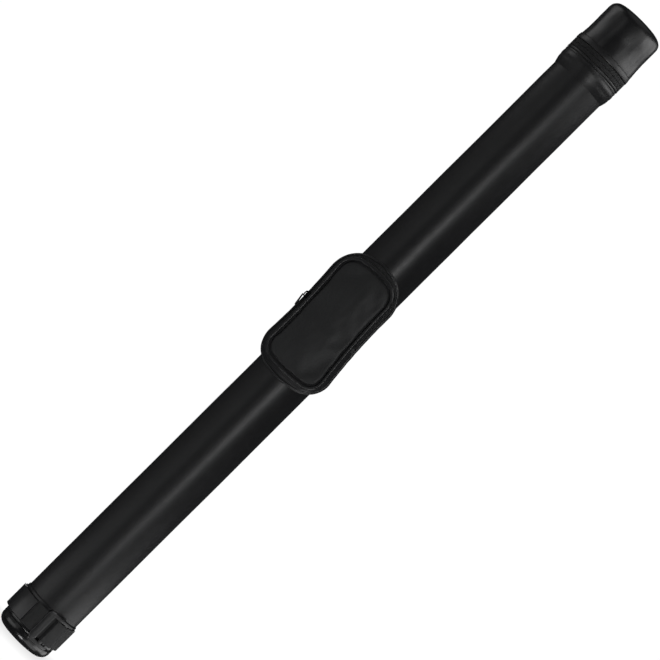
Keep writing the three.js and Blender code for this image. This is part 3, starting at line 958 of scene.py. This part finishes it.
def pouch_outline(inset, share=0.0):
    """Dense (x, z) points round the pouch: an oblong with a slight waist and bulging ends, whose
    corners are tighter towards the front."""
    w, h = POUCH_HALF_WIDTH - inset, POUCH_HALF_HEIGHT - inset
    tighter = inset + FRONT_SHARPENING * share
    r, top = POUCH_CORNER - tighter, POUCH_TOP_CORNER - tighter
    waist, bulge = 2 * POUCH_WAIST, 2 * POUCH_BULGE
    return np.concatenate(
        [
            quadratic((w, r - h), (w - waist, 0), (w, h - top)),
            corner_arc(w - top, h - top, top, 0),
            quadratic((w - top, h), (0, h + bulge), (top - w, h)),
            corner_arc(top - w, h - top, top, 90),
            quadratic((-w, h - top), (waist - w, 0), (-w, r - h)),
            corner_arc(r - w, r - h, r, 180),
            quadratic((r - w, -h), (0, -h - bulge), (w - r, -h)),
            corner_arc(w - r, r - h, r, 270),
        ]
    )


def pouch_point(x, z, share):
    """Where a point of the outline lies, from the outer ring (share 0) to the front rim (1), which
    is smaller and stands a little to the right."""
    height = z / POUCH_HALF_HEIGHT
    lean = share * (LEAN - LEAN_TAPER * height)
    back = RING_FRONT - RING_SIDE_DROP * (x / POUCH_HALF_WIDTH) ** 2
    across = x * (1 - NARROWING * share) * (1 - POUCH_TAPER * height) + lean
    return np.stack([across, -(back + (POUCH_FRONT - back) * share), z * (1 - SHORTENING * share)], axis=-1)


def even(points, count, closed):
    """Points spaced evenly along a line."""
    line = np.concatenate([points, points[:1]]) if closed else points
    gone = np.r_[0, np.cumsum(np.linalg.norm(np.diff(line, axis=0), axis=1))]
    places = np.linspace(0, gone[-1], count + 1 if closed else count)
    if closed:
        places = places[:-1]
    return np.stack([np.interp(places, gone, line[:, c]) for c in range(line.shape[1])], axis=1)


def flap_height(x):
    """Height of the line on which the flap bends."""
    slope = (FLAP_RIGHT - FLAP_LEFT) / (2 * POUCH_HALF_WIDTH)
    return (FLAP_LEFT + FLAP_RIGHT) / 2 + slope * x


def pouch_arc(share, inset, side, count):
    """Evenly spaced points round the wall above (side 1) or below (side -1) the flap's line."""
    flat = pouch_outline(inset, share)
    points = pouch_point(flat[:, 0], flat[:, 1], share)
    height = side * (points[:, 2] - flap_height(points[:, 0])) - FLAP_MARGIN
    inside = height > 0
    first = next(i for i in range(len(points)) if inside[i] and not inside[i - 1])
    points, height = np.roll(points, -first, 0), np.roll(height, -first)
    last = next(i for i in range(len(points)) if height[i] <= 0)
    t0 = height[0] / (height[0] - height[-1])
    t1 = height[last - 1] / (height[last - 1] - height[last])
    start = points[0] + (points[-1] - points[0]) * t0
    stop = points[last - 1] + (points[last] - points[last - 1]) * t1
    return even(np.concatenate([[start], points[:last], [stop]]), count, False)


def wall_skin(levels, thickness, side, count=96):
    """A strip of the pouch's wall; levels are (share, inset) pairs of its outer face."""
    lines = [pouch_arc(share, inset, side, count) for share, inset in levels]
    lines += [pouch_arc(share, inset + thickness, side, count) for share, inset in levels[::-1]]
    return moved(loft(np.stack(lines, axis=1)), POUCH_FRAME)


def lobes(start, stop, bulge):
    """Levels from one share to another whose middle stands out by bulge."""
    shares = np.linspace(0, 1, 7)
    return [(start + (stop - start) * t, WALL_INSET - bulge * math.sin(math.pi * t)) for t in shares]


def piping_skin(share, radius, inset=0.0, seed=1.0):
    """A slightly uneven cord round the pouch."""
    flat = pouch_outline(inset, share)
    path = even(pouch_point(flat[:, 0], flat[:, 1], share), 160, True)
    radii = [radius * (1 + wander(*p, 7, 0.12, seed)) for p in path]
    return moved(swept(path, np.array(radii), (0, 1, 0), 12, True), POUCH_FRAME)


def flap_blend(made, reach=5.0):
    """Bakes a piece's place into its mesh, without bending it at the pouch's flap."""
    joint = JOINTS["pouch_flap_bend"]
    across = Vector(joint["axis"]).normalized().cross(Vector((0, 1, 0))) * reach * MM
    if across.z < 0:
        across = -across
    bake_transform(made)


def add_pouch_walls():
    gusset = lobes(0.08, 0.45, 0.9) + lobes(0.49, 0.93, 0.8)
    skin = wall_skin(gusset, 1.4, -1)
    piece("pouch_gusset_skin", skin, piping_leather, "case", ["pouch_gusset"])
    for node, levels, body in (
        ("pouch_zip_outer_tape", lobes(0.08, 0.47, 0.35), "case"),
        ("pouch_zip_inner_tape", lobes(0.53, 0.97, 0.35), "pouch_flap"),
    ):
        piece(node + "_skin", wall_skin(levels, 1.2, 1, 140), zip_tape, body, [node])
    for node, share, body, phase in (
        ("pouch_zip_outer_coil", 0.485, "case", 0.0),
        ("pouch_zip_inner_coil", 0.515, "pouch_flap", 0.5),
    ):
        path = pouch_arc(share, 0.3, 1, 200)
        outward = np.gradient(path, axis=0)
        outward = np.cross(outward, (0, 1, 0))
        outward *= np.sign((outward * path).sum(1))[:, None]
        skin = moved(beads(path, outward, 1.35, (1.7, 0.67, 1.3), True, 0.0, phase), POUCH_FRAME)
        piece(node + "_teeth", skin, zip_coil, body, [node])


def add_pouch_back():
    """The saddle that sits on the tube behind the pouch."""
    flat = even(pouch_outline(1.9), 120, True)
    ring = pouch_point(flat[:, 0], flat[:, 1], 0)
    tube = span("tube_cover")[1].x + 0.35
    rows = []
    for size in (0.02, 0.35, 0.6, 0.8, 0.92, 1.0):
        x, z = ring[:, 0] * size, ring[:, 2] * size
        back = RING_FRONT - RING_SIDE_DROP * (x / POUCH_HALF_WIDTH) ** 2
        rows.append(np.stack([x, -back - 0.6 * (1 - size), z], axis=1))
    under = []
    for size in (1.0, 0.9, 0.7, 0.4, 0.02):
        x, z = ring[:, 0] * size, ring[:, 2] * size
        hug = np.sqrt(np.maximum(tube**2 - np.minimum(np.abs(x), tube - 0.01) ** 2, 0))
        hug = np.where(np.abs(x) < tube, hug, 0)
        under.append(np.stack([x, -np.maximum(hug, 18.5), z], axis=1))
    skin = moved(loft(np.array(rows + under)), POUCH_FRAME)
    piece("pouch_back", skin, pouch_leather, "case", ["pouch_back_panel"])


def panel_skin():
    """The front panel before it is filled: a thin closed slab."""
    flat = even(pouch_outline(PANEL_INSET, 1.0), 132, True)
    rim = pouch_point(flat[:, 0], flat[:, 1], 1.0)
    return loft([rim + np.array([0, depth, 0]) for depth in (PANEL_BACK, -PANEL_RISE)])


def inflated(made, pinned):
    """Blows a closed mesh up as cloth, moves no point as far as CLOTH_REACH, and keeps the result."""
    mesh = made.data
    rest = np.array([v.co for v in mesh.vertices])
    group = made.vertex_groups.new(name="held")
    for v in mesh.vertices:
        group.add([v.index], pinned(v.co), "REPLACE")
    settings = made.modifiers.new("cloth", "CLOTH").settings
    settings.use_pressure = True
    settings.uniform_pressure_force = CLOTH_PRESSURE
    settings.vertex_group_mass = "held"
    settings.quality = 5
    settings.mass = 0.05
    settings.tension_stiffness = 12
    settings.compression_stiffness = 12
    settings.shear_stiffness = 8
    settings.bending_stiffness = 1.5
    settings.shrink_min = -0.012
    settings.effector_weights.gravity = 0
    for f in range(1, CLOTH_FRAMES + 1):
        bpy.context.scene.frame_set(f)
    graph = bpy.context.evaluated_depsgraph_get()
    result = made.evaluated_get(graph).to_mesh()
    blown = np.array([v.co for v in result.vertices])
    made.evaluated_get(graph).to_mesh_clear()
    made.modifiers.clear()
    made.vertex_groups.clear()
    bpy.context.scene.frame_set(1)
    shift = blown - rest
    far = np.linalg.norm(shift, axis=1)[:, None] / (CLOTH_REACH * MM)
    shift *= np.tanh(far) / np.maximum(far, 1e-6)
    mesh.vertices.foreach_set("co", (rest + shift).astype(np.float32).ravel())
    mesh.update()


def eased(made, times):
    """Smooths a mesh a little."""
    edit = bmesh.new()
    edit.from_mesh(made.data)
    for _ in range(times):
        bmesh.ops.smooth_vert(
            edit, verts=edit.verts, factor=0.5, use_axis_x=True, use_axis_y=True, use_axis_z=True
        )
    edit.to_mesh(made.data)
    edit.free()


def creased(made):
    """Faint lengthwise creases in the front panel's face."""
    for v in made.data.vertices:
        x, y, z = v.co / MM
        if -y > POUCH_FRONT + 1:
            v.co.y -= (wander(x, 0, z * 0.3, 5, 0.22, 6.0) + wander(x, 0, z * 0.7, 14, 0.3, 2.0)) * MM


def add_front_lining():
    """A thin panel behind the front panel, out to the piping."""
    flat = even(pouch_outline(1.2, 1.0), 132, True)
    sizes = np.linspace(1.0, 0.04, 14)
    rings = []
    for depth, order in ((LINING_NEAR, sizes), (LINING_FAR, sizes[::-1])):
        for size in order:
            rim = pouch_point(flat[:, 0] * size, flat[:, 1] * size, 1.0)
            rings.append(rim + np.array([0, depth, 0]))
    skin = moved(loft(rings[::-1], True), POUCH_FRAME)
    flap_blend(piece("pouch_front_lining", skin, lining))


def add_pouch_front():
    panel = piece("pouch_front", moved(panel_skin(), POUCH_FRAME), pouch_leather, sharp=180)
    panel.data.remesh_voxel_size = CLOTH_VOXEL * MM
    bpy.context.view_layer.objects.active = panel
    bpy.ops.object.voxel_remesh()
    held = (POUCH_FRONT + 0.4) * MM
    inflated(panel, lambda co: 1.0 if -co.y < held else 0.0)
    eased(panel, 10)
    creased(panel)
    panel.data.shade_smooth()
    smooth = panel.modifiers.new("smooth", "SUBSURF")
    smooth.levels = smooth.render_levels = 1
    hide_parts("pouch_front_flap", "pouch_front_lower")
    flap_blend(panel)


def add_pouch():
    add_pouch_back()
    add_pouch_walls()
    skin = piping_skin(0.0, 1.7)
    name, node = "pouch_outer_piping_skin", "pouch_outer_piping"
    piece(name, skin, piping_leather, "case", [node])
    skin = piping_skin(0.985, 1.75, WALL_INSET, 4.0)
    halves = ["pouch_rim_piping_flap", "pouch_rim_piping_lower"]
    flap_blend(piece("pouch_rim_piping", skin, piping_leather, None, halves))
    add_pouch_front()
    add_front_lining()
    add_end_tab()
    add_pouch_slider()


def add_end_tab():
    """A leather tab over the zip's end on the right."""
    low, high = 0.15, 0.85
    rings = []
    for share in np.linspace(low, high, 9):
        top = pouch_point(np.array(WALL_MIDDLE + 0.9), np.array(FLAP_RIGHT - 3.0), share)
        middle = 2 * (share - low) / (high - low) - 1
        edge = 0.55 * math.sqrt(max(0.05, 1 - abs(middle) ** 4))
        outline = ring_outline(-edge, edge, -2.5, 2.5, 0.5)
        rings.append([(top[0] + x, top[1], top[2] + z) for x, z in outline])
    skin = moved(loft(rings), POUCH_FRAME)
    piece("pouch_end_tab", skin, tab_leather, "case", ["pouch_zip_end_tab"])


def add_pouch_slider():
    inner, front, _ = pouch_point(np.array(-WALL_MIDDLE), np.array(0.0), 0.5)
    sideways = Matrix.Rotation(-math.pi / 2, 4, "Z")
    place = POUCH_FRAME @ Matrix.Translation((inner + 0.2, front, 3.5)) @ sideways
    skin = moved(slider_skin(*POUCH_SLIDER), place)
    piece("pouch_slider_body", skin, zip_metal, "pouch_slider", ["pouch_zip_slider"])
    pivot = Vector(JOINTS["pouch_pull_swing"]["pos_m"]) / MM
    lean = Matrix.Rotation(math.radians(-PULL_LEAN), 4, "Y")
    place = Matrix.Translation(pivot + Vector((0.55, 0, 1))) @ lean @ sideways
    skin = moved(pull_skin(*POUCH_PULL), place)
    piece("pouch_pull_tab", skin, zip_metal, "pouch_pull", ["pouch_zip_pull"])


add_camera()
add_stage()
add_tube()
add_base()
add_band()
add_mouth()
add_cap_zip()
add_hinge()
add_cap_cover()
add_cap_inside()
add_cap_slider()
add_pouch()
